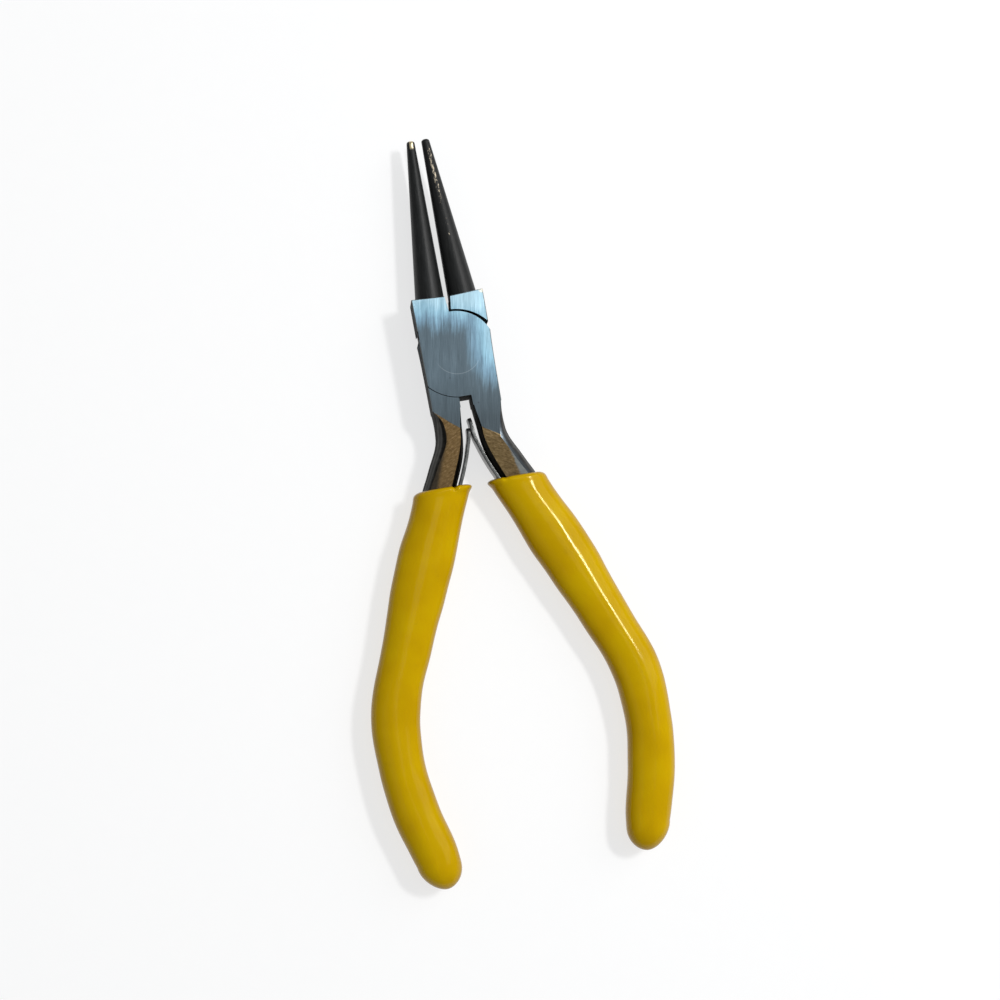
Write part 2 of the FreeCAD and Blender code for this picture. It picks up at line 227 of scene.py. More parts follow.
def head_colour(m):
    """Brushed, cool steel: streaks along the brushing, lighter towards the jaws."""
    along, across = rotated(m, BRUSH_ANGLE)
    fine = m.noise(m.combine(m.math("MULTIPLY", across, 9.0), m.math("MULTIPLY", along, 0.30), m.math("MULTIPLY", m.z, 2.0)), 1.0, 4.0, 0.65)
    broad = m.noise(m.combine(m.math("MULTIPLY", across, 1.5), m.math("MULTIPLY", along, 0.10), m.z), 1.0, 2.0, 0.5)
    cloud = m.math("MULTIPLY", m.math("SUBTRACT", m.noise(m.P, 0.30, 3.0, 0.6), 0.5), 3.0)
    # lighter by the jaws and down the right-hand side: fixed in the colour by place, it stands in for
    # the way the brushing catches a large light, and isn't known to be a difference in the steel
    ragged = m.math("ADD", m.math("MULTIPLY", m.math("SUBTRACT", broad, 0.5), 4.0), m.math("MULTIPLY", m.math("SUBTRACT", fine, 0.5), 4.5))
    cloud = m.math("ADD", cloud, ragged)
    near_jaws = m.maprange(m.math("ADD", m.math("MULTIPLY_ADD", m.x, 0.30, m.y), cloud), 1.6, 9.2)
    right = m.math("MULTIPLY", m.maprange(m.math("ADD", m.x, m.math("MULTIPLY", cloud, 0.35)), 0.6, 5.8), m.maprange(m.math("ADD", m.y, cloud), -8.5, 0.0))
    level = m.math("MAXIMUM", near_jaws, m.math("MULTIPLY", right, 0.86))
    dull = m.ramp(m.maprange(m.y, -12.0, -4.0, smooth=False), [(0.0, DULL_LOW), (1.0, DULL_MID)])
    bright = m.ramp(level, [(0.0, HEAD_0), (0.45, HEAD_1), (0.75, HEAD_2), (1.0, HEAD_3)])
    base = m.mix(m.maprange(level, 0.0, 0.12), dull, bright)
    streak = m.maprange(fine, 0.30, 0.72, 0.80, 1.22, smooth=False)
    streak2 = m.maprange(broad, 0.30, 0.70, 0.88, 1.12, smooth=False)
    tone = m.math("MULTIPLY", streak, streak2)
    col = m.vmath("MULTIPLY", base, m.combine(tone, tone, tone))
    return col, fine, broad


def steel_half(name, lead, facets):
    """One half of the pliers. lead is -1 for the half whose jaw is on the left, +1 on the right.
    facets: ((px, py, nx, ny) for the upper side, the same for the lower side)."""
    m = Mat(name)
    normal = m.nt.nodes.new("ShaderNodeSeparateXYZ")
    m.link(m.tc.outputs["Normal"], normal.inputs[0])
    nz = m.math("ABSOLUTE", normal.outputs[2])
    upper = m.maprange(m.z, ZM - 0.01, ZM + 0.01)
    flat = m.maprange(nz, 0.955, 0.97)
    chamfer = m.math("MULTIPLY", m.math("MULTIPLY", m.maprange(nz, 0.60, 0.66), m.maprange(nz, 0.84, 0.78)), m.maprange(m.y, -9.7, -9.5))

    # distance past the slanting line where each ground flat starts
    def past(f):
        return m.math("ADD", m.math("MULTIPLY", m.x, f[2]), m.math("MULTIPLY_ADD", m.y, f[3], -(f[0] * f[2] + f[1] * f[3])))
    d = m.mixf(upper, past(facets[1]), past(facets[0]))
    wob = m.noise(m.P, 1.1, 2.0)
    facet = m.math("MULTIPLY", m.maprange(m.math("MULTIPLY_ADD", wob, 0.25, d), 0.05, 0.25), m.maprange(m.y, -8.8, -9.4))
    facet = m.math("MULTIPLY", facet, flat)
    # jaw cone
    tilt = math.radians(3.21)
    ax, ay = lead * 2.8, 9.4
    sx = -lead * math.sin(tilt)
    rx = m.math("SUBTRACT", m.math("MULTIPLY", m.math("SUBTRACT", m.x, ax), math.cos(tilt)), m.math("MULTIPLY", m.math("SUBTRACT", m.y, ay), sx))
    rz = m.math("SUBTRACT", m.z, ZM)
    rad = m.math("SQRT", m.math("ADD", m.math("MULTIPLY", rx, rx), m.math("MULTIPLY", rz, rz)))
    cone = m.math("MAXIMUM", m.maprange(m.y, 9.72, 9.74),
                  m.math("MULTIPLY", m.maprange(rad, 2.60, 2.56), m.maprange(m.y, 9.2, 9.24)))

    head, fine, broad = head_colour(m)
    # ground shank flats: warm, with short scratches across
    along, across = rotated(m, math.radians(-27.0 if lead > 0 else 27.0))
    cross = m.noise(m.combine(m.math("MULTIPLY", across, 0.9), m.math("MULTIPLY", along, 7.0), m.z), 1.0, 3.0, 0.65)
    cross2 = m.noise(m.combine(m.math("MULTIPLY", across, 2.2), m.math("MULTIPLY", along, 3.0), m.z), 1.0, 3.0, 0.6)
    warm = m.ramp(m.math("MULTIPLY_ADD", cross, 0.6, m.math("MULTIPLY", cross2, 0.4)),
                  [(0.28, (0.075, 0.045, 0.019)), (0.46, (0.165, 0.103, 0.043)), (0.58, (0.240, 0.152, 0.066)), (0.74, (0.46, 0.31, 0.16))])
    # painted light: the right-hand shank's ground flats are painted lighter and cooler than the left-hand ones
    if lead < 0:
        warm = m.vmath("MULTIPLY", warm, (1.5, 1.62, 1.75))
    # the ground flat fades out towards the rounded outer edge, most of all by the sleeve: a painted reflection of the
    # rounding in grey on the right-hand shank, painted shade in near-black on the left-hand one
    if lead < 0:
        edge = m.math("SUBTRACT", m.x, m.math("MULTIPLY_ADD", m.math("SUBTRACT", -16.0, m.y), 0.25, 5.3))
        edge = m.math("MULTIPLY", m.maprange(m.math("MULTIPLY_ADD", wob, 0.5, edge), 0.10, 0.55), m.maprange(m.y, -14.6, -15.6))
        warm = m.mix(edge, warm, m.mix(cross2, (0.25, 0.265, 0.255), (0.46, 0.48, 0.46)))
    else:
        edge = m.math("SUBTRACT", m.math("MULTIPLY_ADD", m.math("SUBTRACT", -13.6, m.y), -0.3625, -4.2), m.x)
        edge = m.math("MULTIPLY", m.maprange(m.math("MULTIPLY_ADD", wob, 0.5, edge), -0.45, 0.60), m.maprange(m.y, -13.0, -15.0))
        warm = m.mix(edge, warm, m.mix(cross2, (0.036, 0.028, 0.020), (0.066, 0.052, 0.036)))
    # dark polished sides
    patch = m.noise(m.P, 0.9, 4.0, 0.6)
    dark = m.ramp(patch, [(0.30, (0.020, 0.019, 0.017)), (0.55, (0.040, 0.038, 0.034)), (0.75, (0.075, 0.072, 0.066))])
    if lead < 0:
        # painted highlight: the outer rounding of the right-hand shank is painted brighter next to its ground flat
        painted_sheen = m.math("MULTIPLY", m.maprange(nz, 0.60, 0.92), m.math("MULTIPLY", m.maprange(m.x, 3.0, 4.5), m.maprange(m.y, -10.0, -14.0)))
        dark = m.mix(m.math("MULTIPLY", painted_sheen, 0.85), dark, (0.105, 0.125, 0.142))
    else:
        # painted shade and highlight: the left-hand shank's dark sides are painted darker than the right-hand ones,
        # with a painted glint along their rounding
        glint = m.math("MULTIPLY", m.maprange(m.math("ABSOLUTE", m.math("SUBTRACT", nz, 0.62)), 0.10, 0.02), m.maprange(m.x, -3.5, -4.5))
        dark = m.vmath("MULTIPLY", dark, (0.55, 0.55, 0.53))
        dark = m.mix(m.math("MULTIPLY", glint, 0.30), dark, (0.12, 0.12, 0.115))
    # black oxide with streaks along the cone and worn flecks
    cone_u = m.math("MULTIPLY", m.y, 0.35)
    ox_n = m.noise(m.combine(m.math("MULTIPLY", rx, 5.0), cone_u, m.math("MULTIPLY", rz, 5.0)), 1.0, 4.0, 0.6)
    speck = m.noise(m.combine(m.math("MULTIPLY", rx, 3.6), m.math("MULTIPLY", m.y, 1.3), m.math("MULTIPLY", rz, 3.6)), 1.0, 5.0, 0.70, 0.3)
    oxide = m.ramp(ox_n, [(0.30, (0.0080, 0.0084, 0.0082)), (0.60, (0.0135, 0.0142, 0.0140)), (0.80, (0.024, 0.0245, 0.024))])
    # wear gathers on the upper crest of each cone and at the very tip
    crest = m.math("MULTIPLY", m.maprange(rz, 0.0, 0.9), m.maprange(m.math("ABSOLUTE", m.math("SUBTRACT", rx, 0.15)), 0.55, 0.10))
    lengthwise = m.ramp(m.math("DIVIDE", m.y, 40.0), [(0.24, 0.35), (0.42, 0.55), (0.60, 0.60), (0.74, 0.95), (0.86, 1.0), (0.90, 0.8)] if lead > 0 else [(0.24, 0.12), (0.50, 0.30), (0.70, 0.18), (0.84, 0.45), (0.92, 0.6)])
    thr = m.maprange(m.math("MULTIPLY", crest, lengthwise), 0.0, 1.0, 0.80, 0.47, smooth=False)
    worn = m.math("MULTIPLY", m.math("SUBTRACT", speck, thr), 14.0, clamp=True)
    if lead < 0:
        # at the very tip of the left-hand jaw the wear is painted much lighter: bare metal there, with a painted
        # reflection on it
        tip = m.math("MULTIPLY", m.maprange(m.y, 35.3, 35.9), m.maprange(m.math("ABSOLUTE", m.math("SUBTRACT", rx, 0.05)), 0.40, 0.22))
        tip = m.math("MULTIPLY", tip, m.maprange(rz, 0.15, 0.45))
        worn = m.math("MAXIMUM", worn, m.math("MULTIPLY", tip, m.maprange(speck, 0.25, 0.5)))
        worn_col = m.mix(tip, (0.30, 0.26, 0.20), (0.78, 0.66, 0.42))
    else:
        worn_col = m.mix(ox_n, (0.22, 0.19, 0.145), (0.52, 0.45, 0.34))

    dark = m.mix(m.math("MULTIPLY", m.maprange(nz, 0.42, 0.25), m.maprange(m.y, -9.6, -9.2)), dark, (0.017, 0.016, 0.014))
    col = m.mix(flat, dark, head)
    col = m.mix(facet, col, warm)
    # painted highlight along the edge break
    col = m.mix(m.math("MULTIPLY", chamfer, 0.5), col, (0.34, 0.40, 0.42))
    # faint ring round the flush rivet, and a few punch marks left from forging
    r0 = m.math("SQRT", m.math("ADD", m.math("MULTIPLY", m.x, m.x), m.math("MULTIPLY", m.y, m.y)))
    ring = m.math("MULTIPLY", m.maprange(m.math("ABSOLUTE", m.math("SUBTRACT", r0, 3.99)), 0.12, 0.02), m.maprange(m.y, -1.0, -3.2, 0.0, 0.13))
    col = m.mix(m.math("MULTIPLY", ring, flat), col, (0.60, 0.66, 0.70))
    # the walls in the gaps between the lapped plates are near-black and rough
    gap_up = m.math("MULTIPLY", m.math("MULTIPLY", m.maprange(r0, 6.50, 6.54), m.maprange(r0, 7.30, 7.24)), m.maprange(m.y, -0.3, 0.3))
    gap_low = m.math("MULTIPLY", m.math("MULTIPLY", m.maprange(r0, 7.78, 7.80), m.maprange(r0, 8.06, 8.04)), m.maprange(m.y, 0.3, -0.3))
    inner = m.math("MULTIPLY", m.math("MAXIMUM", gap_up, gap_low), m.maprange(m.math("ABSOLUTE", m.x), 6.3, 5.9))
    inner = m.math("MULTIPLY", inner, m.math("MAXIMUM", m.maprange(nz, 0.80, 0.70), m.math("MULTIPLY", m.maprange(m.z, 0.2, 0.5), m.maprange(m.z, T - 0.2, T - 0.5))))
    col = m.mix(inner, col, (0.004, 0.004, 0.004))
    # worn outer corner of the right-hand shoulder, with a painted highlight on it
    corner = m.math("MULTIPLY", m.maprange(m.vmath("DISTANCE", m.P, (lead * 5.85, 9.38, T)), 0.62, 0.25), m.maprange(speck, 0.30, 0.50))
    if lead > 0:
        col = m.mix(m.math("MULTIPLY", corner, 0.9), col, (0.86, 0.78, 0.62))
    for px_, py_, pr_ in PITS:
        pit = m.maprange(m.vmath("DISTANCE", m.P, (px_, py_, T)), pr_, pr_ * 0.5, 0.0, 0.7)
        col = m.mix(m.math("MULTIPLY", pit, flat), col, (0.05, 0.06, 0.07))
    col = m.mix(cone, col, m.mix(worn, oxide, worn_col))

    steep = m.maprange(nz, 0.42, 0.25)
    rough = m.mixf(flat, m.mixf(steep, 0.36, 0.85), m.maprange(fine, 0.3, 0.7, 0.30, 0.44, smooth=False))
    rough = m.mixf(facet, rough, m.maprange(cross, 0.3, 0.7, 0.30, 0.46, smooth=False))
    rough = m.mixf(cone, rough, m.mixf(worn, m.maprange(ox_n, 0.3, 0.7, 0.34, 0.46, smooth=False), 0.38))
    rough = m.mixf(inner, rough, 0.8)
    metal = m.mixf(cone, m.math("SUBTRACT", 1.0, m.math("MAXIMUM", inner, m.math("MULTIPLY", steep, 0.85))), m.mixf(worn, 0.0, 1.0))
    h_flat = m.math("MULTIPLY_ADD", fine, 0.6, m.math("MULTIPLY", broad, 0.4))
    h = m.mixf(facet, h_flat, cross)
    h = m.mixf(flat, m.math("MULTIPLY", patch, 0.6), h)
    h = m.mixf(cone, h, m.math("MULTIPLY_ADD", worn, -0.8, ox_n))
    m.set(Base_Color=col, Roughness=rough, Metallic=metal, Normal=m.bump(h, 0.35, 0.00004))
    m.bsdf.inputs["Specular IOR Level"].default_value = 0.21
    return m.mat


def rivet_steel():
    m = Mat("rivet_brushed_steel")
    head, fine, broad = head_colour(m)
    pit = m.voronoi(m.P, 0.55)
    m.set(Base_Color=head, Roughness=m.maprange(fine, 0.3, 0.7, 0.30, 0.44, smooth=False), Metallic=1.0,
          Normal=m.bump(m.math("MULTIPLY_ADD", fine, 0.6, m.math("MULTIPLY", pit, 0.1)), 0.35, 0.00004))
    return m.mat


def spring_steel():
    m = Mat("leaf_spring_steel")
    n1 = m.noise(m.combine(m.math("MULTIPLY", m.x, 1.5), m.math("MULTIPLY", m.y, 0.6), m.math("MULTIPLY", m.z, 7.0)), 1.0, 3.0, 0.6)
    n2 = m.noise(m.P, 1.3, 3.0, 0.5)
    col = m.ramp(m.math("MULTIPLY_ADD", n1, 0.6, m.math("MULTIPLY", n2, 0.4)), [(0.3, (0.045, 0.045, 0.043)), (0.55, (0.105, 0.105, 0.10)), (0.75, (0.26, 0.26, 0.25))])
    m.set(Base_Color=col, Roughness=m.maprange(n1, 0.3, 0.7, 0.24, 0.38, smooth=False), Metallic=0.9, Normal=m.bump(n2, 0.12, 0.00002))
    return m.mat


def small_rivet_steel():
    m = Mat("spring_rivet_steel")
    n1 = m.noise(m.P, 3.0, 4.0, 0.6)
    col = m.ramp(n1, [(0.3, (0.25, 0.25, 0.25)), (0.7, (0.5, 0.5, 0.49))])
    m.set(Base_Color=col, Roughness=m.maprange(n1, 0.3, 0.7, 0.22, 0.4, smooth=False), Metallic=1.0, Normal=m.bump(n1, 0.2, 0.00004))
    return m.mat


def grip_pvc(name, shade):
    m = Mat(name)
    soft = m.noise(m.P, 0.13, 2.0, 0.5)
    fleck = m.noise(m.P, 1.9, 5.0, 0.62)
    grime = m.noise(m.vmath("ADD", m.P, (31.0, 7.0, 3.0)), 0.33, 5.0, 0.66)
    base = m.ramp(soft, [(0.32, (0.490, 0.292, 0.0002)), (0.50, (0.530, 0.325, 0.0002)), (0.68, (0.552, 0.352, 0.0002))])
    base = m.mix(m.maprange(fleck, 0.60, 0.82, 0.0, 0.18, smooth=False), base, (0.46, 0.28, 0.002))
    base = m.mix(m.maprange(grime, 0.62, 0.80, 0.0, 0.30, smooth=False), base, (0.34, 0.20, 0.006))
    # painted shade: the sleeves are a little darker and browner down their sides
    nrm = m.nt.nodes.new("ShaderNodeSeparateXYZ")
    m.link(m.tc.outputs["Normal"], nrm.inputs[0])
    down = m.maprange(m.math("ABSOLUTE", nrm.outputs[2]), 0.85, 0.15)
    base = m.mix(m.math("MULTIPLY", down, 0.75), base, (0.33, 0.175, 0.0003))
    # fine scratches in three directions
    scratches = None
    for k, (ang, thr) in enumerate(((0.45, 0.735), (-0.9, 0.75), (1.35, 0.76))):
        al, ac = rotated(m, ang)
        s = m.noise(m.combine(m.math("MULTIPLY", ac, 5.0), m.math("MULTIPLY_ADD", al, 0.30, 11.0 * k), m.math("MULTIPLY", m.z, 0.5)), 1.0, 2.0, 0.5)
        s = m.maprange(s, thr, thr + 0.05, 0.0, 1.0)
        scratches = s if scratches is None else m.math("MAXIMUM", scratches, s)
    orange = m.noise(m.P, 1.0, 2.0, 0.5)
    micro = m.noise(m.P, 7.0, 3.0, 0.6)
    h = m.math("MULTIPLY_ADD", micro, 0.06, m.math("MULTIPLY_ADD", scratches, -0.35, m.math("MULTIPLY", orange, 0.13)))
    rough = m.math("ADD", m.maprange(grime, 0.35, 0.75, 0.09, 0.20, smooth=False), m.math("MULTIPLY", scratches, 0.18))
    m.set(Base_Color=base, Roughness=rough, Normal=m.bump(h, 0.22, 0.00008))
    m.bsdf.inputs["IOR"].default_value = 1.5
    m.bsdf.inputs["Specular IOR Level"].default_value = 0.17
    m.bsdf.inputs["Specular Tint"].default_value = (1.0, 0.92, 0.50, 1.0)
    m.bsdf.inputs["Subsurface Weight"].default_value = 0.05
    m.bsdf.inputs["Subsurface Radius"].default_value = (0.0012, 0.0007, 0.0002)
    return m.mat


def floor_material():
    m = Mat("floor_paper")
    n = m.noise(m.P, 0.4, 3.0, 0.5)
    col = m.ramp(n, [(0.3, (0.295, 0.295, 0.295)), (0.7, (0.30, 0.30, 0.30))])
    glow = m.ramp(n, [(0.3, (0.998, 0.999, 1.0)), (0.7, (1.0, 1.0, 1.0))])
    m.set(Base_Color=col, Roughness=0.75, Emission_Color=glow)
    m.bsdf.inputs["Emission Strength"].default_value = 0.70
    m.bsdf.inputs["Specular IOR Level"].default_value = 0.2
    return m.mat


def dress(obj, mat):
    if not obj.material_slots:
        obj.data.materials.append(mat)
    for s in obj.material_slots:
        s.material = mat


# (px, py, nx, ny): a point on the line where each ground flat starts, and the way the flat falls
F_UP = (1.45, -13.1, -0.539, -0.842)
F_LOW = (1.9, -12.9, 0.646, -0.763)
B_UP = (-1.9, -12.9, -0.646, -0.763)
B_LOW = (-1.45, -13.1, 0.539, -0.842)
dress(nodes["front_half"], steel_half("front_half_steel", -1, (F_UP, F_LOW)))
dress(nodes["rear_half"], steel_half("rear_half_steel", 1, (B_UP, B_LOW)))
dress(nodes["pivot_rivet"], rivet_steel())
srm = small_rivet_steel()
dress(nodes["right_spring_rivet"], srm)
dress(nodes["left_spring_rivet"], srm)

# ------------------------------------------------------------------ mesh helpers


def new_mesh(name, verts, faces, smooth=True):
    me = bpy.data.meshes.new(name)
    me.from_pydata([tuple(p) for p in verts], [], faces)
    me.validate()
    me.update()
    if smooth:
        me.polygons.foreach_set("use_smooth", [True] * len(me.polygons))
    ob = bpy.data.objects.new(name, me)
    bpy.context.scene.collection.objects.link(ob)
    return ob


def apply_modifiers(ob):
    bpy.context.view_layer.update()
    dg = bpy.context.evaluated_depsgraph_get()
    me = bpy.data.meshes.new_from_object(ob.evaluated_get(dg), depsgraph=dg)
    old = ob.data
    ob.modifiers.clear()
    ob.data = me
    me.name = ob.name
    if old.users == 0:
        bpy.data.meshes.remove(old)
    return ob


def recalc(ob):
    bm = bmesh.new()
    bm.from_mesh(ob.data)
    bmesh.ops.recalc_face_normals(bm, faces=bm.faces)
    bm.to_mesh(ob.data)
    bm.free()


def smooth_curve(t, x):
    """Natural cubic spline through (t, x), returned as a function."""
    t = np.asarray(t, float)
    x = np.asarray(x, float)
    n = len(t)
    h = np.diff(t)
    A = np.zeros((n, n))
    b = np.zeros(n)
    A[0, 0] = A[-1, -1] = 1.0
    for i in range(1, n - 1):
        A[i, i - 1] = h[i - 1]
        A[i, i] = 2 * (h[i - 1] + h[i])
        A[i, i + 1] = h[i]
        b[i] = 3 * ((x[i + 1] - x[i]) / h[i] - (x[i] - x[i - 1]) / h[i - 1])
    c = np.linalg.solve(A, b)
    B = (x[1:] - x[:-1]) / h - h * (2 * c[:-1] + c[1:]) / 3
    d = (c[1:] - c[:-1]) / (3 * h)

    def f(q):
        q = np.clip(np.asarray(q, float), t[0], t[-1])
        i = np.clip(np.searchsorted(t, q, side="right") - 1, 0, n - 2)
        u = q - t[i]
        return x[i] + B[i] * u + c[i] * u * u + d[i] * u ** 3
    return f


# ------------------------------------------------------------------ leaf springs

LEAF = [(-11.45, -0.16), (-12.3, -0.02), (-13.2, 0.05), (-14.2, 0.13), (-15.0, 0.28), (-15.9, 0.55), (-16.9, 0.86),
        (-18.0, 1.22), (-19.1, 1.63), (-20.2, 2.08), (-21.3, 2.56), (-22.3, 3.02), (-23.6, 3.62), (-25.0, 4.32),
        (-26.4, 5.03), (-27.6, 5.60), (-28.8, 6.10), (-30.0, 6.52), (-31.5, 7.03), (-33.0, 7.54)]


def leaf_spring(name, side, y_tip):
    """A strip with rounded corners and edges; side +1 is the right-hand leaf."""
    ys = [-p[0] for p in LEAF]
    fx = smooth_curve(ys, [p[1] for p in LEAF])
    n = 150
    y = np.linspace(-y_tip, 33.0, n)
    x = fx(y)
    p = np.stack([x, -y], 1)
    tan = np.gradient(p, axis=0)
    tan /= np.linalg.norm(tan, axis=1)[:, None]
    nrm = np.stack([-tan[:, 1], tan[:, 0]], 1)
    nrm[nrm[:, 0] < 0] *= -1
    s = np.concatenate([[0], np.cumsum(np.linalg.norm(np.diff(p, axis=0), axis=1))])
    L = s[-1]
    th, hw, rc = 0.56, 2.25, 0.8
    # half width falls off at both ends to round the corners
    def half_width(q):
        w = hw
        for e in (q, L - q):
            if e < rc:
                w = min(w, hw - rc + math.sqrt(max(0.0, rc * rc - (rc - e) ** 2)))
        return w
    # section: a rounded rectangle, thickness th, with edge radius r
    r = 0.11
    verts, rings = [], []
    for i in range(n):
        w = half_width(s[i])
        ring = []
        k = 5
        corners = [(th - r, w - r, 0), (r, w - r, 90), (r, -(w - r), 180), (th - r, -(w - r), 270)]
        for cx, cz, a0 in corners:
            for j in range(k):
                a = math.radians(a0 + 90.0 * j / (k - 1))
                ring.append((cx + r * math.cos(a), cz + r * math.sin(a)))
        idx = []
        for (u, zz) in ring:
            q = p[i] + nrm[i] * u
            idx.append(len(verts))
            verts.append((side * q[0] * MM, q[1] * MM, (ZM + zz) * MM))
        rings.append(idx)
    faces = []
    m_ = len(rings[0])
    for a, b in zip(rings, rings[1:]):
        for j in range(m_):
            faces.append((a[j], a[(j + 1) % m_], b[(j + 1) % m_], b[j]))
    faces.append(tuple(rings[0]))
    faces.append(tuple(reversed(rings[-1])))
    ob = new_mesh(name, verts, faces)
    recalc(ob)
    for poly in ob.data.polygons:
        if len(poly.vertices) > 4:
            poly.use_smooth = False
    ob.data.materials.append(spring)
    return ob


spring = spring_steel()
right_leaf = leaf_spring("right_leaf", 1, -11.45)
left_leaf = leaf_spring("left_leaf", -1, -13.05)
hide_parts("right_leaf_spring")
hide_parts("left_leaf_spring")
# Each leaf is clamped under its sleeve and bends above it; the two tips meet half way between the handles.
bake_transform(right_leaf)
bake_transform(left_leaf)

# ------------------------------------------------------------------ grips

GRIP_OUT = [(-22.3, 10.95), (-23.0, 11.25), (-24, 11.65), (-26, 12.55), (-28, 13.55), (-30, 14.62), (-32, 15.58),
            (-34, 16.45), (-36, 17.25), (-38, 17.97), (-40, 18.62), (-42, 19.30), (-44, 19.95), (-46, 20.62),
            (-48, 21.35), (-50, 22.10), (-52, 22.85), (-54, 23.52), (-56, 24.08), (-58, 24.42), (-60, 24.58),
            (-62, 24.62), (-64, 24.60), (-66, 24.50), (-68, 24.38), (-70, 24.20), (-72, 23.98), (-74, 23.66),
            (-76, 23.24), (-78, 22.74), (-80, 22.14), (-82, 21.50), (-84, 20.80)]
GRIP_IN = [(-22.3, 1.80), (-23.0, 2.05), (-24, 2.50), (-26, 3.52), (-28, 4.38), (-30, 5.07), (-32, 5.75),
           (-34, 6.48), (-36, 7.28), (-38, 8.22), (-40, 9.16), (-42, 10.10), (-44, 11.10), (-46, 12.05),
           (-48, 12.95), (-50, 13.80), (-52, 14.68), (-54, 15.52), (-56, 16.20), (-58, 16.70), (-60, 17.07),
           (-62, 17.28), (-64, 17.45), (-66, 17.52), (-68, 17.42), (-70, 17.20), (-72, 16.90), (-74, 16.56),
           (-76, 16.12), (-78, 15.60), (-80, 15.10), (-82, 14.72), (-84, 14.50)]


RIDGE = 0.12


def signed_pow(c, e):
    return math.copysign(abs(c) ** e, c)


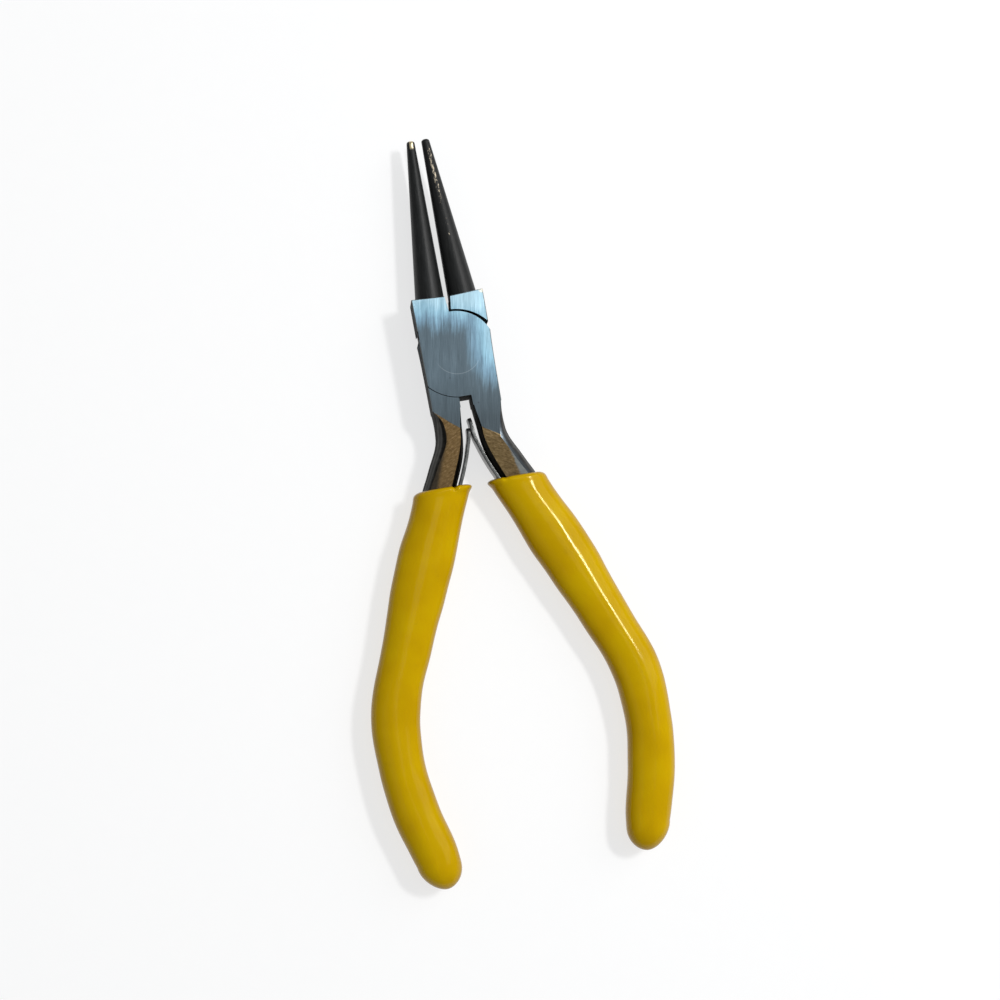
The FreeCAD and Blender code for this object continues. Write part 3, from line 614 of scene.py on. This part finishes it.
def grip(name, side):
    """A sleeve with a flared, rounded mouth, an inner wall and a closed round end. side +1 is the right-hand grip."""
    # the skin of the sleeve stands this much proud of the plain CAD solid on its outer and inner sides
    swell_o = smooth_curve([22.3, 30, 50, 58, 68, 84], [0.10, 0.05, 0.15, 0.35, 0.52, 0.58])
    swell_i = smooth_curve([22.3, 24, 30, 50, 60, 72, 84], [0.15, 0.40, 0.42, 0.42, 0.30, 0.36, 0.42])
    go = smooth_curve([-p[0] for p in GRIP_OUT], [p[1] for p in GRIP_OUT])
    gi = smooth_curve([-p[0] for p in GRIP_IN], [p[1] for p in GRIP_IN])

    def fo(q):
        return go(q) + swell_o(q)

    def fi(q):
        return gi(q) - swell_i(q)
    hz_f = smooth_curve([22.3, 23.5, 26, 36, 50, 60, 75, 84], [3.78, 3.72, 3.70, 3.72, 3.55, 3.60, 3.62, 3.60])
    N = 72

    def frame_at(y):
        if y <= 84.0:
            xi, xo = float(fi(y)), float(fo(y))
            return (xi + xo) / 2, (xo - xi) / 2, float(hz_f(y)), y
        return None

    def ring(cx, hx, hz, y, ridge, shrink=0.0, tilt=0.0):
        pts = []
        for j in range(N):
            a = 2 * math.pi * j / N
            c, s = math.cos(a), math.sin(a)
            e = 2 / 2.35
            px = signed_pow(c, e)
            pz = signed_pow(s, e)
            # a soft ridge runs along both flats, a little outside the middle
            u = px
            bumpz = ridge * math.exp(-((u - 0.12) / 0.34) ** 2) * (1 if pz > 0 else -1) * min(1.0, abs(pz) * 1.4)
            flatten = 1.0 - 0.055 * (u - 0.12) ** 2 * min(1.0, ridge * 6)
            x = cx + (hx - shrink) * px
            z = (hz - shrink) * pz * flatten + bumpz
            pts.append((x, -(y + tilt * 0.0), z))
        return pts

    rows = []
    # outer wall from the mouth to the end
    ys = [22.3 + 0.12 * i for i in range(1, 16)] + list(np.linspace(24.4, 83.6, 150))
    for y in ys:
        cx, hx, hz, yy = frame_at(y)
        e = y - 22.3
        # lip: rolls over at the very mouth, with a slight bead behind it
        roll = 0.0
        if e < 0.62:
            roll = 0.62 - math.sqrt(max(0.0, 0.62 ** 2 - (0.62 - e) ** 2))
        bead = 0.05 * math.exp(-((e - 0.75) / 0.45) ** 2)
        flare_in = 0.42 * math.exp(-((e - 0.3) / 0.75) ** 2)
        cx -= flare_in / 2
        hx += flare_in / 2
        ridge = RIDGE * min(1.0, e / 2.5)
        pts = ring(cx, hx + bead, hz + bead - RIDGE * 0.9 * min(1.0, e / 2.5), yy, ridge, shrink=roll)
        rows.append(pts)
    # rounded closed end
    cx0, hx0, hz0, _ = frame_at(83.6)
    cx1 = float((fi(84.0) + fo(84.0)) / 2)
    slope = (float((fi(83.6) + fo(83.6)) / 2) - float((fi(81.6) + fo(81.6)) / 2)) / 2.0
    K = 16
    for k in range(1, K + 1):
        a = math.pi / 2 * k / K
        y = 83.6 + 4.4 * math.sin(a)
        f = math.cos(a) ** 1.02 if k < K else 0.02
        f = max(f, 0.02)
        cx = cx0 + slope * (y - 83.6) * 0.60
        rows.append(ring(cx, hx0 * f ** 1.14, (hz0 - RIDGE * 0.9) * f, y, RIDGE * f))
    verts, idx = [], []
    for pts in rows:
        idx.append(list(range(len(verts), len(verts) + N)))
        verts += pts
    faces = []
    for a, b in zip(idx, idx[1:]):
        for j in range(N):
            faces.append((a[j], a[(j + 1) % N], b[(j + 1) % N], b[j]))
    # end cap
    c = len(verts)
    last = np.array(rows[-1]).mean(0)
    verts.append(tuple(last + np.array([0, -0.004, 0])))
    for j in range(N):
        faces.append((idx[-1][j], idx[-1][(j + 1) % N], c))
    # mouth: over the rim and down inside
    inner_rows = []
    wall = 1.12
    for k, (dy, sh) in enumerate([(-0.03, 0.62), (0.0, 0.80), (0.12, 0.98), (0.32, 1.09), (0.7, wall), (1.4, wall), (3.0, wall), (6.0, wall), (9.0, wall)]):
        y = 22.3 + max(dy, 0.0) + (0.0 if dy >= 0 else 0.0)
        cx, hx, hz, yy = frame_at(y)
        e = max(dy, 0.0)
        flare_in = 0.42 * math.exp(-((e - 0.3) / 0.75) ** 2)
        cx -= flare_in / 2
        hx += flare_in / 2
        inner_rows.append(ring(cx, hx, hz - 0.02, y + min(dy, 0.0), 0.0, shrink=sh))
    prev = idx[0]
    first = True
    for pts in inner_rows:
        cur = list(range(len(verts), len(verts) + N))
        verts += pts
        for j in range(N):
            faces.append((prev[(j + 1) % N], prev[j], cur[j], cur[(j + 1) % N]))
        prev = cur
    c = len(verts)
    verts.append(tuple(np.array(inner_rows[-1]).mean(0) + np.array([0, -0.2, 0])))
    for j in range(N):
        faces.append((prev[(j + 1) % N], prev[j], c))
    # soft unevenness, as dipped or pushed-on PVC has, and the crease where the leaf spreads the mouth
    out = []
    for (x, y, z) in verts:
        e = -22.3 - y
        if z > 0 and -0.2 < e < 2.2:
            crease = math.exp(-((x - 4.35) / 0.26) ** 2) * math.exp(-((e - 0.1) / 0.75) ** 2)
            puff = math.exp(-((x - 3.55) / 0.45) ** 2) * math.exp(-((e - 0.5) / 0.8) ** 2)
            k = 1.0 if side < 0 else 0.35
            z += k * (-0.62 * crease + 0.20 * puff)
            y -= k * 0.30 * crease
        w = 0.035 * math.sin(0.31 * y + 1.7 * side) * math.sin(0.9 * x + 0.4) + 0.02 * math.sin(0.83 * y + 2.0)
        out.append([x + w, y, z + 0.02 * math.sin(0.47 * y + x)])
    verts = [(side * x * MM, y * MM, (ZM + z) * MM) for x, y, z in out]
    ob = new_mesh(name, verts, faces)
    recalc(ob)
    ob.data.materials.append(grip_mats[side])
    return ob


grip_mats = {1: grip_pvc("right_grip_pvc", 0), -1: grip_pvc("left_grip_pvc", 1)}
right_sleeve = grip("right_sleeve", 1)
left_sleeve = grip("left_sleeve", -1)
for piece, node, body in ((right_sleeve, "right_grip", "front"), (left_sleeve, "left_grip", "rear")):
    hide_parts(node)
    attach(piece, body)

# ------------------------------------------------------------------ floor, lights, camera

low = min(c[2] for c in cad_box)
bpy.ops.mesh.primitive_plane_add(size=6.0, location=(0, -0.03, low - 0.0002))
floor = bpy.context.object
floor.name = "floor"
floor.data.materials.append(floor_material())

world = bpy.data.worlds.new("studio")
world.use_nodes = True
wn = world.node_tree.nodes
bg = wn["Background"]
bg.inputs[0].default_value = (0.92, 0.95, 1.0, 1.0)
bg.inputs[1].default_value = 0.24
bpy.context.scene.world = world


# The strip's long side runs along the upper part of the right-hand grip.
STRIP_SPIN = Vector((0.35, -0.94, 0.0))


def area(name, loc, target, size, power, colour=(1, 1, 1), size_y=None, spin=None):
    li = bpy.data.lights.new(name, "AREA")
    li.shape = "RECTANGLE"
    li.size = size
    li.size_y = size_y or size
    li.energy = power
    li.color = colour
    ob = bpy.data.objects.new(name, li)
    ob.location = loc
    d = Vector(target) - Vector(loc)
    if spin is None:
        ob.rotation_euler = d.to_track_quat("-Z", "Y").to_euler()
    else:
        zax = -d.normalized()
        yax = (spin - zax * spin.dot(zax)).normalized()
        xax = yax.cross(zax)
        ob.rotation_euler = Matrix((xax, yax, zax)).transposed().to_euler()
    bpy.context.scene.collection.objects.link(ob)
    return ob


area("strip", (0.328, 0.066, 0.51), (0.012, -0.035, 0.0), 0.052, 2.2, (1.0, 1.0, 1.0), size_y=0.11, spin=STRIP_SPIN)
area("key", (0.52, 0.16, 0.46), (0.0, -0.03, 0.0), 0.55, 1.7, (1.0, 0.99, 0.97))
area("top", (0.08, 0.13, 1.1), (0, -0.02, 0), 0.5, 1.06, (0.90, 0.96, 1.0))
area("fill", (-0.55, -0.10, 0.60), (0, -0.03, 0), 0.4, 0.15, (1.0, 0.95, 0.88))

# Camera: looks almost straight down on the pliers, with the object's long axis leaning 10 degrees to the left.
cam_data = bpy.data.cameras.new("camera")
cam_data.sensor_width = 36.0
cam_data.lens = 63.828
cam_data.clip_start = 0.01
cam_data.clip_end = 10.0
cam = bpy.data.objects.new("camera", cam_data)
right = Vector((0.9811048, -0.17730053, 0.07744604))
up = Vector((0.1726762, 0.98297111, 0.06285476))
back = Vector((-0.0872714, -0.04829402, 0.99501326))
rot = Matrix((right, up, back)).transposed()
cam.matrix_world = Matrix.Translation(Vector((-0.0231523, -0.0402513, 0.3015))) @ rot.to_4x4()
bpy.context.scene.collection.objects.link(cam)
bpy.context.scene.camera = cam
bpy.context.scene.view_settings.view_transform = "Standard"
bpy.context.scene.view_settings.look = "None"
